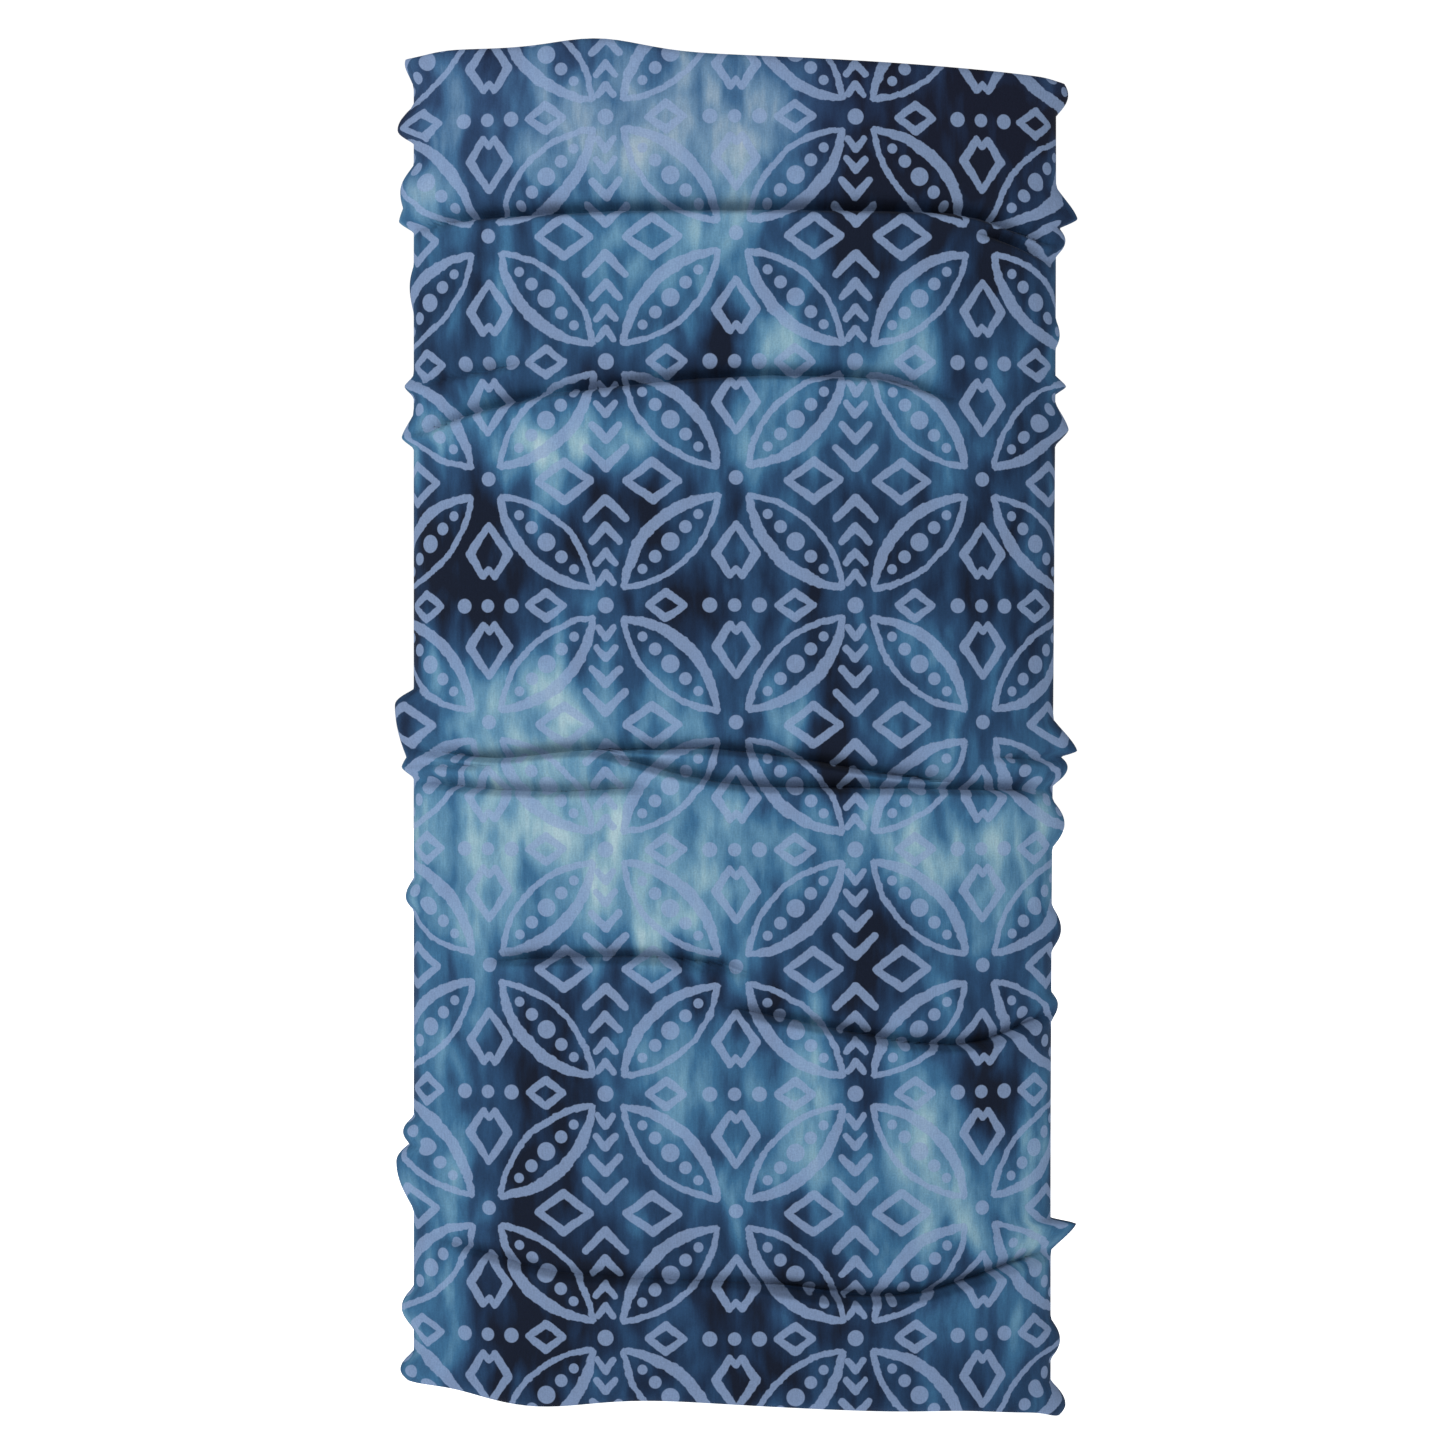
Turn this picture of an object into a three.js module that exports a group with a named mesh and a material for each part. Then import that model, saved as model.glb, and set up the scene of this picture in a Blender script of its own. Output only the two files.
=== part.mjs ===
// A one-size neck gaiter: an open tube of thin stretch knit, closed down the
// centre back by one flatlock seam, with a blank care label caught in that seam.
// Millimetres. +Z is up along the tube, the printed front faces -Y, and the
// origin is the centre of the bottom opening.
import * as THREE from 'three';

// The tube, standing open as a shallow oval
const tubeLength = 490;        // raw edge to raw edge on the axis
const tubeWidth = 238;         // outside, left to right
const tubeDepth = 54;          // outside, front to back
const clothThickness = 1;
const topEdgeSlant = 2.4;      // degrees, both raw edges run down towards +X
const bottomEdgeSlant = 3.3;
const ovalSteps = 96;          // flats around the oval

// The flatlock seam: rows of needle thread, one cover thread outside, one looper inside
const needleRows = 4;
const seamGauge = 5.4;         // first needle row to last
const stitchLength = 2.5;
const threadSize = 0.4;        // thickness and width of every thread
const coverOverhang = 0.3;     // how far the crossing threads pass the outer rows
const seamEndInset = 1;        // the stitches stop this far inside each raw edge
const layGap = 0.3;            // between pieces that lie on one another

// The care label, a ribbon folded double with its two ends in the seam
const labelReach = 30;         // seam to fold
const labelHeight = 28;        // width of the ribbon, along the seam
const labelThickness = 0.5;
const labelAboveEdge = 45;     // bottom raw edge to the label
const labelSideGap = 0.4;      // label's root to the looper thread, sideways
const labelDepthGap = 0.2;     // and front to back, so that it can swing past it

const halfWidth = tubeWidth / 2;
const halfDepth = tubeDepth / 2;
const innerHalfWidth = halfWidth - clothThickness;
const innerHalfDepth = halfDepth - clothThickness;
const seamHalfWidth = seamGauge / 2 + coverOverhang;

// Rise of each slanted raw edge at a distance x from the centre line
const slope = (degrees) => -Math.tan(THREE.MathUtils.degToRad(degrees));
const bottomRise = (x) => x * slope(bottomEdgeSlant);
const topRise = (x) => x * slope(topEdgeSlant);

const fabric = (color, roughness) => new THREE.MeshStandardMaterial({ color, roughness, metalness: 0 });
const knitCloth = fabric(0x3f6488, 0.85);
const sewingThread = fabric(0x26364f, 0.6);
const labelSatin = fabric(0xe9e7e1, 0.45);

const gaiter = new THREE.Group();

function addPiece(name, geometry, material, parent = gaiter) {
  const mesh = new THREE.Mesh(geometry, material);
  mesh.name = name;
  parent.add(mesh);
  return mesh;
}

// Extrudes an outline drawn in plan up the tube and slants its two ends with the raw edges
function extrudeAlongTube(outline, inset, curveSegments = 1) {
  const depth = tubeLength - 2 * inset;
  const geometry = new THREE.ExtrudeGeometry(outline, { depth, curveSegments, bevelEnabled: false });
  geometry.translate(0, 0, inset);
  const corners = geometry.attributes.position;
  for (let i = 0; i < corners.count; i += 1) {
    const x = corners.getX(i);
    const z = corners.getZ(i);
    const rise = z < tubeLength / 2 ? bottomRise(x) : topRise(x);
    corners.setZ(i, z + rise);
  }
  geometry.computeVertexNormals();
  return geometry;
}

function rectangle(left, right, near, far) {
  const outline = new THREE.Shape();
  outline.moveTo(left, near);
  outline.lineTo(right, near);
  outline.lineTo(right, far);
  outline.lineTo(left, far);
  outline.closePath();
  return outline;
}

// The knit panel, joined into a tube
function makeTubePanel() {
  const oval = new THREE.Shape();
  oval.absellipse(0, 0, halfWidth, halfDepth, 0, 2 * Math.PI);
  const opening = new THREE.Path();
  opening.absellipse(0, 0, innerHalfWidth, innerHalfDepth, 0, 2 * Math.PI);
  oval.holes.push(opening);
  addPiece('tube_panel', extrudeAlongTube(oval, 0, ovalSteps), knitCloth);
}

// Needle threads: straight rows on the outside of the centre back
function makeNeedleThreads() {
  const near = halfDepth + layGap;
  const rowSpacing = seamGauge / (needleRows - 1);
  for (let row = 0; row < needleRows; row += 1) {
    const x = row * rowSpacing - seamGauge / 2;
    const outline = rectangle(x - threadSize / 2, x + threadSize / 2, near, near + threadSize);
    addPiece(`needle_thread_${row + 1}`, extrudeAlongTube(outline, seamEndInset), sewingThread);
  }
}

// A thread that crosses all the rows and back, one stitch at a time, from near to far in depth
function zigzagThread(near) {
  const bottom = seamEndInset + threadSize;
  const legs = Math.floor((tubeLength - 2 * bottom) / stitchLength);
  const reach = seamHalfWidth - threadSize / 2;
  const legSlope = stitchLength / (2 * reach);
  const halfHeight = threadSize / 2 / Math.cos(Math.atan(legSlope));
  const notch = halfHeight / legSlope;
  const rightSide = [];
  const leftSide = [];
  for (let turn = 0; turn <= legs; turn += 1) {
    const z = bottom + turn * stitchLength;
    const side = turn % 2 === 0 ? -1 : 1;
    const outer = side > 0 ? rightSide : leftSide;
    const inner = side > 0 ? leftSide : rightSide;
    outer.push(new THREE.Vector2(side * reach, z - halfHeight));
    outer.push(new THREE.Vector2(side * reach, z + halfHeight));
    const isEnd = turn === 0 || turn === legs;
    if (!isEnd) inner.push(new THREE.Vector2(side * (reach - notch), z));
  }
  const outline = new THREE.Shape([...rightSide, ...leftSide.reverse()]);
  const geometry = new THREE.ExtrudeGeometry(outline, { depth: threadSize, bevelEnabled: false });
  // Stands the drawing up: its y becomes +Z, and its thickness runs from near towards +Y
  geometry.rotateX(Math.PI / 2);
  geometry.translate(0, near + threadSize, 0);
  return geometry;
}

function makeCrossingThreads() {
  const coverNear = halfDepth + layGap + threadSize + layGap;
  addPiece('cover_thread', zigzagThread(coverNear), sewingThread);
  const looperNear = innerHalfDepth - layGap - threadSize;
  addPiece('looper_thread', zigzagThread(looperNear), sewingThread);
}

// The care label: flat beside the back wall at rest, hinged where the seam holds it
function makeCareLabel() {
  const innerDepthAt = (x) => innerHalfDepth * Math.sqrt(1 - (x / innerHalfWidth) ** 2);
  const hingeX = seamHalfWidth + labelSideGap;
  const looperNear = innerHalfDepth - layGap - threadSize;
  const hingeY = looperNear - labelDepthGap - labelThickness / 2;
  const wallDrop = innerDepthAt(hingeX) - innerDepthAt(hingeX + labelReach);
  const half = labelThickness / 2;
  const outline = new THREE.Shape();
  outline.moveTo(0, -half);
  outline.lineTo(labelReach - half, -half);
  outline.absarc(labelReach - half, 0, half, -Math.PI / 2, Math.PI / 2, false);
  outline.lineTo(0, half);
  outline.closePath();
  const geometry = new THREE.ExtrudeGeometry(outline, {
    depth: labelHeight,
    curveSegments: 6,
    bevelEnabled: false,
  });
  const hinge = new THREE.Group();
  hinge.position.set(hingeX, hingeY, labelAboveEdge);
  hinge.rotation.z = -Math.atan(wallDrop / labelReach);
  gaiter.add(hinge);
  addPiece('care_label', geometry, labelSatin, hinge);
}

makeTubePanel();
makeNeedleThreads();
makeCrossingThreads();
makeCareLabel();

export default gaiter;
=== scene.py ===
import math

import bmesh
import bpy
import mathutils
import numpy as np
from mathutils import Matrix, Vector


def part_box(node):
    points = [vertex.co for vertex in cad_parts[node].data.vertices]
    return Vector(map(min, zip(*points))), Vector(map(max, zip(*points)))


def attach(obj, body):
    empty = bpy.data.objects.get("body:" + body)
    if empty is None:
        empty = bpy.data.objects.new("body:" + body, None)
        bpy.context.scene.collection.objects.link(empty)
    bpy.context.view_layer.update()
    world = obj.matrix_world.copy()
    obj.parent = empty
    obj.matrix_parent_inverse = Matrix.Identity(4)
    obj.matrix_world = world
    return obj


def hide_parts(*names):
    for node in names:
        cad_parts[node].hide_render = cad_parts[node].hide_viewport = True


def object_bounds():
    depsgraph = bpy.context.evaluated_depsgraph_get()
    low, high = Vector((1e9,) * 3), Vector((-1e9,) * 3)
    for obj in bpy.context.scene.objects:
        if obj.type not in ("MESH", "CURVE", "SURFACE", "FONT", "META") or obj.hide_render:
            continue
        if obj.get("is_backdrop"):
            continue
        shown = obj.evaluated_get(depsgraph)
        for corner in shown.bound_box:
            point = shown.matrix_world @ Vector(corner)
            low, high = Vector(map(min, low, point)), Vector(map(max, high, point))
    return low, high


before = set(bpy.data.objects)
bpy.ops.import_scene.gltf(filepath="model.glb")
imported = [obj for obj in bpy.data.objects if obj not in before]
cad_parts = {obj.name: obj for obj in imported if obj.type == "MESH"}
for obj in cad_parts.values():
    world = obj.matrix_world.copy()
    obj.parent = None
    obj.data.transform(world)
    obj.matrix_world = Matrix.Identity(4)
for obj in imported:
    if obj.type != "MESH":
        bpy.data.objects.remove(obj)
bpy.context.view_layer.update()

mm = 0.001                          # shapes are worked out in millimetres and made in metres
tubeLow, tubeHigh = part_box("tube_panel")
halfWidth = tubeHigh.x / mm         # the outside of the cloth, on the oval
halfDepth = tubeHigh.y / mm
topSlope = math.tan(math.radians(2.4))
bottomSlope = math.tan(math.radians(3.3))
tubeLength = tubeHigh.z / mm - halfWidth * topSlope


# Small tools for meshes

def deselectAll():
    bpy.ops.object.select_all(action="DESELECT")


def makeActive(piece):
    deselectAll()
    piece.select_set(True)
    bpy.context.view_layer.objects.active = piece


def readPoints(piece):
    flat = np.zeros(len(piece.data.vertices) * 3)
    piece.data.vertices.foreach_get("co", flat)
    return flat.reshape(-1, 3)


def writePoints(piece, points):
    piece.data.vertices.foreach_set("co", points.ravel())
    piece.data.update()


def applyModifiers(piece):
    makeActive(piece)
    for modifier in list(piece.modifiers):
        bpy.ops.object.modifier_apply(modifier=modifier.name)


def cutUprightEdges(piece, parts):
    # every upright edge is cut into this many parts, which adds level rows
    makeActive(piece)
    bpy.ops.object.mode_set(mode="EDIT")
    bpy.ops.mesh.select_mode(type="EDGE")
    bpy.ops.mesh.select_all(action="DESELECT")
    editMesh = bmesh.from_edit_mesh(piece.data)
    for edge in editMesh.edges:
        low, high = edge.verts
        edge.select = abs(low.co.z - high.co.z) > 1e-5
    bmesh.update_edit_mesh(piece.data)
    bpy.ops.mesh.subdivide(number_cuts=parts - 1)
    bpy.ops.object.mode_set(mode="OBJECT")


def easeIn(value):
    value = np.clip(value, 0, 1)
    return value * value * (3 - 2 * value)


def hill(gap, reach):
    return np.exp(-(gap / reach) ** 2)


# The way round the tube
# The turn is 0 at the middle of the front and half a circle at the seam in the middle of the back.

fineTurns = np.linspace(0, math.pi, 2001)
turnSpeed = np.hypot(halfWidth * np.cos(fineTurns), halfDepth * np.sin(fineTurns))
fineWays = np.concatenate([[0], np.cumsum((turnSpeed[1:] + turnSpeed[:-1]) / 2)]) * fineTurns[1]
halfRound = fineWays[-1]


def wayFromTurn(turn):
    return np.sign(turn) * np.interp(np.abs(turn), fineTurns, fineWays)


def evenTurn(turn, share):
    # moves the columns this share of the way from even turns towards even distances
    even = np.sign(turn) * np.interp(np.abs(turn) / math.pi * halfRound, fineWays, fineTurns)
    return turn + share * (even - turn)


# How the cloth is shaped

knit = {
    "columns": 144,
    "rows": 335,
    "evenColumns": 0.2,         # 0 is even turns, 1 is even distances
    "clothThickness": 0.7,
    "creaseRowReach": 3.5,      # rows lie closer within this distance of a crease
    "creaseRowGain": 5,
    "creaseRowLead": 50,        # and start to do so this far from its ends
    "sideRowGain": 1.5,         # rows also lie closer where a side bunches, most of all at small bunches
    "smallBunchGain": 6,
    "rimCurl": 0.9,             # the raw edges roll in
    "rimCurlHeight": 4,
    "bunchPower": 16,           # the higher, the closer the bunches keep to the sides
    "creasePower": 12,          # the higher, the nearer to the sides the creases run
    "edgePinch": 0.4,           # how flat the fold is where it stands out at a side
    "pinchReach": 8,
    "sway": 0.45,               # the soft waves of slack cloth
    "printRelief": 0.12,        # height of the loops on the outside, the inside and the cut edge
    "reverseRelief": 0.16,
    "edgeRelief": 0.1,
}

creaseShape = {
    "dip": 2.0,                 # the cloth above the line sinks in
    "dipReach": 8,
    "lip": 1.9,                 # and stands out under it
    "lipReach": 7,
    "lipDrop": 1.5,
    "line": 5.6,                # the deep part, close to the line
    "lineAbove": 3.0,
    "lineBelow": 1.2,
    "endFade": 14,
}

# Where bunched cloth stands out at the sides: the height of the crest, how far it stands out, and how
# tall it is below and above the crest. Tucks are sharp, most of them at a crease, and bulges are round.
leftTucks = [(493, 4, 10, 4), (433, 5.5, 4, 14), (372, 3.5, 4, 4), (353, 4.5, 4, 9), (231, 4.5, 4, 8)]
leftBulges = [
    (467, 6, 5, 9), (444, 5, 14, 10), (409, 1.5, 10, 8), (254, 7, 26, 6), (183, 3, 5, 7),
    (85, 6.5, 18, 8), (96, 4, 6, 6), (31, 4.5, 8, 8), (8, 5, 7, 7),
]
rightTucks = [(434, 8, 4, 12), (372, 4, 3, 4), (356, 5, 6, 10), (237, 9, 3, 12), (62, 9.5, 10, 2)]
rightBulges = [
    (480, 4.5, 8, 14), (426, 3.5, 6, 6), (391, 1.5, 5, 6), (231, 5.5, 7, 6), (210, 4.5, 9, 9),
    (171, 3.5, 8, 9), (143, 2.5, 6, 5), (19, 3.5, 7, 8), (-5, 5.5, 8, 9),
]
bunchShape = {"tuckPower": 1.4, "bulgePower": 2, "crestPower": 1.2}
rightTaper = {"by": 2, "from": 460, "over": 400}      # the right side draws in towards the bottom
labelPatch = {"across": 18, "halfWide": 40, "height": 59, "halfTall": 30}      # the back is smooth here

# Creases as the distance across from the middle of the front, then the height. Past a side the
# distance goes on over the back. The last number is how deep the crease is.
nearSide, farSide = halfWidth, 3 * halfWidth
creases = [
    ([(-nearSide, 428), (-104, 432), (-40, 434), (82, 434), (100, 430), (nearSide, 422)], 1.0),
    ([(nearSide, 422), (170, 427), (238, 424), (300, 430), (farSide, 428)], 0.9),
    ([(86, 427), (104, 423), (nearSide, 415)], 0.9),
    ([(-nearSide, 372), (-97, 375), (-72, 380)], 0.5),
    ([(-nearSide, 352), (-115, 354), (-97, 361), (-80, 365), (-60, 369)], 0.85),
    ([(-70, 367), (-45, 370), (-24, 372), (9, 374), (55, 373), (66, 370), (82, 364)], 0.95),
    ([(nearSide, 356), (150, 361), (215, 364), (262, 360)], 0.8),
    ([(-nearSide, 237), (-88, 234), (-62, 237), (-8, 238), (20, 235), (47, 230), (82, 225)], 1.0),
    ([(-nearSide, 231), (-84, 232)], 0.5),
    ([(-55, 238), (-19, 228), (4, 224), (82, 223), (nearSide, 222)], 1.0),
    ([(-nearSide, 226), (-95, 223), (-62, 222), (-28, 224)], 0.75),
    ([(92, 235), (nearSide, 233)], 0.7),
    ([(nearSide, 232), (160, 236), (240, 229), (310, 233), (farSide, 237)], 0.9),
    ([(-92, 160), (-50, 162), (-28, 162), (8, 157)], 0.9),
    ([(-4, 144), (30, 137), (65, 130), (90, 129), (103, 134), (nearSide, 141)], 1.0),
    ([(200, 146), (270, 150), (farSide, 158)], 0.7),
    ([(-113, 59), (-88, 52), (-68, 47), (-35, 45), (5, 44), (45, 39)], 0.5),
    ([(5, 43), (40, 38), (68, 38), (96, 46), (nearSide, 53)], 1.0),
    ([(270, 92), (310, 86), (farSide, 82)], 0.7),
    ([(nearSide, 56), (140, 52), (172, 50)], 0.7),
]
# Broad soft folds of the front: the line, how far it rises or sinks, and how tall it is
softFolds = [
    ([(-45, 63), (0, 62), (50, 60)], -2.6, 6),
    ([(25, 50), (70, 51), (nearSide, 60)], 1.6, 6),
    ([(-60, 246), (0, 248), (60, 240)], 1.2, 8),
]
# Waves of the raw edges, as the distance across, the rise and the width of each
topWaves = [(-50, 4.2, 22), (-halfWidth, -2, 9), (halfWidth, -1, 4)]
bottomWaves = [(-76, -6, 30), (-halfWidth, -2, 12), (85, 1, 20), (halfWidth, -2, 6)]


def sideReach(heights, tucks, bulges):
    # how far the bunched cloth stands out at a side
    reach = np.zeros_like(heights)
    for bunches, power in ((tucks, bunchShape["tuckPower"]), (bulges, bunchShape["bulgePower"])):
        for crest, far, below, above in bunches:
            gap = heights - crest
            away = np.clip(np.where(gap > 0, gap / above, -gap / below), 0, 1)
            reach = np.maximum(reach, far * (1 - away ** power) ** bunchShape["crestPower"])
    return reach


def creaseHeight(points, way):
    # the line through the points, with its corners rounded
    ways, heights = zip(*points)
    steps = (-8, -4, 0, 4, 8)
    return sum(np.interp(way + step, ways, heights) for step in steps) / len(steps)


def runFade(points, way):
    # a crease dies away at its ends, except where it runs into a side
    first, last = points[0][0], points[-1][0]
    start = 1 if abs(first) == nearSide else easeIn((way - first) / creaseShape["endFade"])
    end = 1 if last in (nearSide, farSide) else easeIn((last - way) / creaseShape["endFade"])
    return start * end * ((way >= first - 0.01) & (way <= last + 0.01))


def creasePush(points, way, height):
    shape = creaseShape
    gap = height - creaseHeight(points, way)
    dip = -shape["dip"] * hill(gap, shape["dipReach"]) * (gap > 0)
    lip = shape["lip"] * hill(gap + shape["lipDrop"], shape["lipReach"]) * (gap <= 0)
    line = -shape["line"] * hill(gap, np.where(gap > 0, shape["lineAbove"], shape["lineBelow"]))
    return (dip + lip + line) * runFade(points, way)


def slackWaves(across, height, back):
    return (np.sin(across / 31 + height / 47 + 1) * np.sin(height / 38 - across / 90)
            + 0.6 * np.sin(across / 17 - height / 61 + np.where(back, 2, 0)))


def foldCloth(points, outside=None):
    # each point moves as the place on the outside of the cloth that goes with it
    across, deep, height = (points if outside is None else outside).T
    atSide = np.abs(across) / halfWidth
    back = deep > 0
    # how much of the bunching at the sides reaches this place
    nearEdge = np.clip(atSide, 0, 1.05) ** knit["bunchPower"]
    taper = rightTaper["by"] * easeIn((rightTaper["from"] - height) / rightTaper["over"])
    reach = np.where(across < 0, sideReach(height, leftTucks, leftBulges),
                     sideReach(height, rightTucks, rightBulges) - taper)
    push = np.zeros_like(height)
    for run, depth in creases:
        if run[-1][0] <= nearSide:
            push += depth * creasePush(run, across, height) * ~back
        else:
            push += depth * creasePush(run, 2 * halfWidth - across, height) * back
    for run, rise, tall in softFolds:
        push += rise * hill(height - creaseHeight(run, across), tall) * runFade(run, across) * ~back
    push += knit["sway"] * slackWaves(across, height, back)
    # the label lies against a smooth stretch of the back
    calm = np.clip(2 * hill(height - labelPatch["height"], labelPatch["halfTall"]), 0, 1)
    calm *= np.clip(2 * hill(across - labelPatch["across"], labelPatch["halfWide"]), 0, 1)
    push *= (1 - calm * back) * (1 - np.clip(atSide, 0, 1) ** knit["creasePower"])
    fromRim = np.minimum(topEdge(across) - height, height - bottomEdge(across))
    push -= knit["rimCurl"] * np.clip(1 - fromRim / knit["rimCurlHeight"], 0, 1) ** 2
    normalAcross = across / halfWidth ** 2
    normalDeep = deep / halfDepth ** 2
    normalSize = np.hypot(normalAcross, normalDeep)
    moved = points.copy()
    moved[:, 0] += push * normalAcross / normalSize + np.sign(across) * reach * nearEdge
    moved[:, 1] += push * normalDeep / normalSize
    moved[:, 1] *= 1 - knit["edgePinch"] * np.clip(reach / knit["pinchReach"], 0, 1) * nearEdge
    return moved


def topEdge(across):
    return tubeLength - across * topSlope + sum(rise * hill(across - at, wide) for at, rise, wide in topWaves)


def bottomEdge(across):
    return -across * bottomSlope + sum(rise * hill(across - at, wide) for at, rise, wide in bottomWaves)


def crowdFade(points, way):
    # the rows draw together well before a crease begins
    before = easeIn((way - points[0][0]) / knit["creaseRowLead"] + 0.7)
    after = easeIn((points[-1][0] - way) / knit["creaseRowLead"] + 0.7)
    return before * after


def rowHeights(turn, across, share):
    # In every column the rows crowd together at the creases and at the bunched sides, so the rows
    # run along the creases.
    columns, columnOf = np.unique(np.round(turn, 5), return_inverse=True)
    result = np.zeros_like(share)
    for number, columnTurn in enumerate(columns):
        members = columnOf == number
        place = across[members][0]
        even = np.linspace(bottomEdge(place), topEdge(place), 1501)
        back = abs(columnTurn) > math.pi / 2
        way = 2 * halfWidth - place if back else place
        crowd = np.ones_like(even)
        sideShare = (abs(place) / halfWidth) ** knit["creasePower"]
        for run, _ in creases:
            if back == (run[-1][0] > nearSide):
                level = creaseHeight(run, np.array([way]))[0]
                gain = knit["creaseRowGain"] * crowdFade(run, way) * (1 - sideShare)
                crowd += gain * hill(even - level, knit["creaseRowReach"])
        bunches = leftTucks + leftBulges if place < 0 else rightTucks + rightBulges
        for level, _, below, above in bunches:
            gain = knit["sideRowGain"] * (1 + knit["smallBunchGain"] / (1 + min(below, above)))
            crowd += sideShare * gain * hill(even - level, (below + above) / 2)
        passed = np.concatenate([[0], np.cumsum((crowd[1:] + crowd[:-1]) / 2)])
        result[members] = np.interp(share[members], passed / passed[-1], even)
    return result


# The dye, as soft pools of light and dark: way round from the middle of the front, height,
# half width, half height, and how much paler (or darker) the cloth is there
dye = {
    "middleTone": 0.3,
    "pools": [
        # the top, pale in the middle and darkest on the right
        (-52, 468, 34, 28, 0.46), (0, 464, 25, 30, 0.52), (-104, 470, 18, 26, 0.06),
        (-118, 444, 16, 14, 0.34), (92, 474, 40, 26, -0.34), (46, 436, 16, 40, -0.3), (88, 428, 34, 30, -0.3),
        (-30, 414, 34, 22, 0.36), (-80, 428, 24, 16, 0.1), (22, 428, 8, 18, 0.16),
        # between the two upper creases and under them
        (63, 388, 16, 22, 0.6), (17, 383, 19, 12, 0.4), (-7, 378, 9, 12, -0.36),
        (98, 376, 10, 10, 0.24), (-66, 349, 32, 12, 0.56), (-112, 352, 10, 14, 0.42),
        (-72, 330, 10, 18, 0.3), (18, 352, 26, 18, 0.34), (66, 352, 16, 16, 0.18),
        # the dark band
        (-100, 300, 30, 26, -0.5), (-44, 318, 18, 14, -0.2), (-12, 296, 14, 22, -0.26),
        (54, 312, 14, 26, -0.2), (100, 318, 22, 40, -0.1), (70, 274, 16, 14, 0.24),
        (-90, 262, 22, 18, 0.42), (-66, 254, 16, 20, 0.46), (-22, 252, 18, 16, 0.3), (20, 250, 9, 14, 0.34),
        # the broad pale part in the middle
        (36, 244, 9, 24, -0.4), (72, 240, 16, 12, 0.22), (-96, 205, 34, 44, 0.38), (-46, 202, 40, 40, 0.5),
        (-14, 180, 26, 30, 0.26), (14, 208, 20, 16, 0.22), (66, 206, 40, 16, 0.4), (98, 182, 26, 32, 0.32),
        (50, 166, 13, 16, -0.2), (-10, 150, 60, 7, -0.3),
        # the lower part, with its dark stem on the left
        (-68, 128, 18, 22, -0.24), (-68, 66, 20, 56, -0.3), (-108, 112, 17, 56, 0.28),
        (-18, 112, 36, 30, 0.3), (28, 108, 14, 34, 0.4), (10, 78, 34, 8, 0.26), (44, 122, 7, 22, -0.26),
        (68, 106, 14, 26, 0.5), (84, 76, 20, 22, 0.34), (56, 76, 8, 20, 0.3), (94, 112, 10, 20, -0.5),
        (112, 84, 9, 38, 0.36), (92, 56, 36, 9, 0.36), (-2, 38, 62, 10, -0.22), (-6, 10, 60, 14, -0.2),
        (-84, 26, 16, 26, -0.28), (-110, 26, 12, 34, 0.3), (94, 24, 34, 14, 0.08),
        # the back
        (180, 205, 60, 32, 0.42), (245, 232, 50, 26, 0.34), (-190, 190, 50, 34, 0.4),
        (165, 420, 40, 34, 0.34), (-215, 400, 40, 40, 0.34), (-150, 335, 34, 26, 0.28),
        (215, 330, 36, 24, 0.26), (-170, 80, 44, 36, 0.34), (235, 100, 34, 40, 0.32),
        (150, 60, 30, 30, -0.15), (190, 290, 70, 18, -0.18), (-200, 285, 50, 16, -0.15),
    ],
    "fringe": [(5.3, 5), (2.9, 4), (1.5, 2.5)],      # how the pools run up and down: spacing and reach
    # the streaks inside the pools: scale across and up, detail, roughness and strength
    "streaks": [(0.05, 0.022, 1.0, 0.4, 0.6), (0.12, 0.05, 1.3, 0.45, 0.76)],
    "fineStreaks": (0.6, 0.09, 3.0, 0.6, 0.18),
    "streakBend": (14.0, 16.0, 0.0),
    "mauveFrom": (415.0, 470.0),      # the dye turns a little mauve towards the top
    "mauve": (1.16, 0.93, 0.96, 1.0),
    "ramp": [      # from the darkest dye to bare cloth, as screen colours
        (0.0, (17, 25, 42)), (0.16, (25, 44, 71)), (0.36, (39, 70, 104)), (0.54, (57, 103, 139)),
        (0.72, (95, 139, 167)), (0.88, (134, 169, 184)), (1.0, (162, 188, 197)),
    ],
}


def dyeTone(way, height):
    tone = np.full_like(way, dye["middleTone"])
    run = sum(far * np.sin(way / spacing + 1.7 * np.sin(way / spacing / 2.3 + height / 60))
              for spacing, far in dye["fringe"])
    for at, level, halfWide, halfTall, strength in dye["pools"]:
        aside = (way - at + halfRound) % (2 * halfRound) - halfRound
        tone += strength * np.exp(-(aside / halfWide) ** 2 - ((height + run - level) / halfTall) ** 2)
    return tone


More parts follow.
